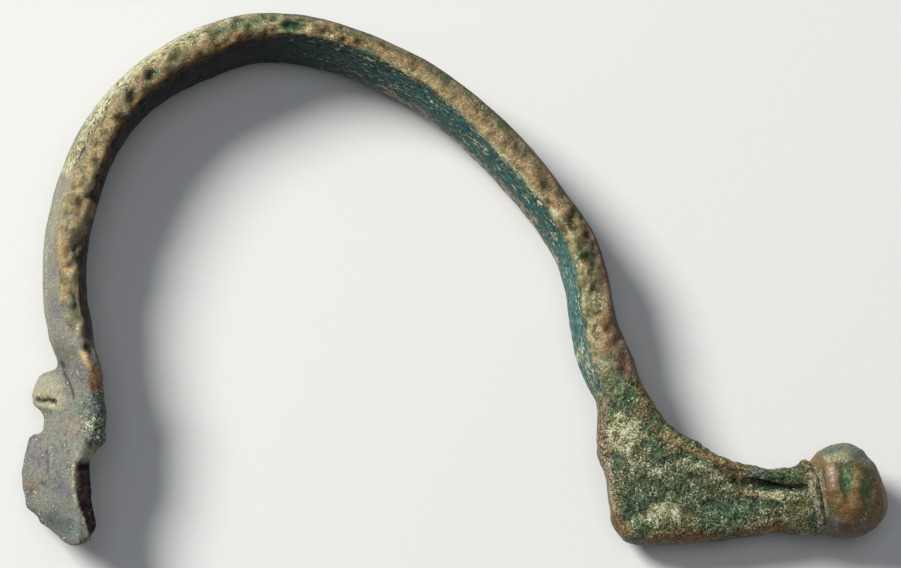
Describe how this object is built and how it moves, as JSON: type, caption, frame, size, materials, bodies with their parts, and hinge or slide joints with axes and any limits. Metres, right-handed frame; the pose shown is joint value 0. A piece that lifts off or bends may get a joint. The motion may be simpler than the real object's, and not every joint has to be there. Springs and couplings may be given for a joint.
{
  "type": "roman bow brooch",
  "caption": "Cast bronze bow brooch with a high curved bow, a triangular catch plate and a round knob on the foot; the pin and the hinge are lost.",
  "frame": {"origin": "middle of the underside of the brooch as it lies on its side", "axes": "+X from the head towards the foot, +Y from the foot towards the top of the bow, +Z across the width of the bow, away from the surface it lies on"},
  "size_m": [0.0562, 0.0364, 0.0068],
  "materials": {
    "corroded_bronze": "matt green and brown patina with worn bronze edges",
    "worn_bronze": "worn reddish brown bronze with green in the hollows"
  },
  "bodies": {
    "root": {"brooch_body": "corroded_bronze", "foot_knob": "worn_bronze"}
  },
  "joints": []
}
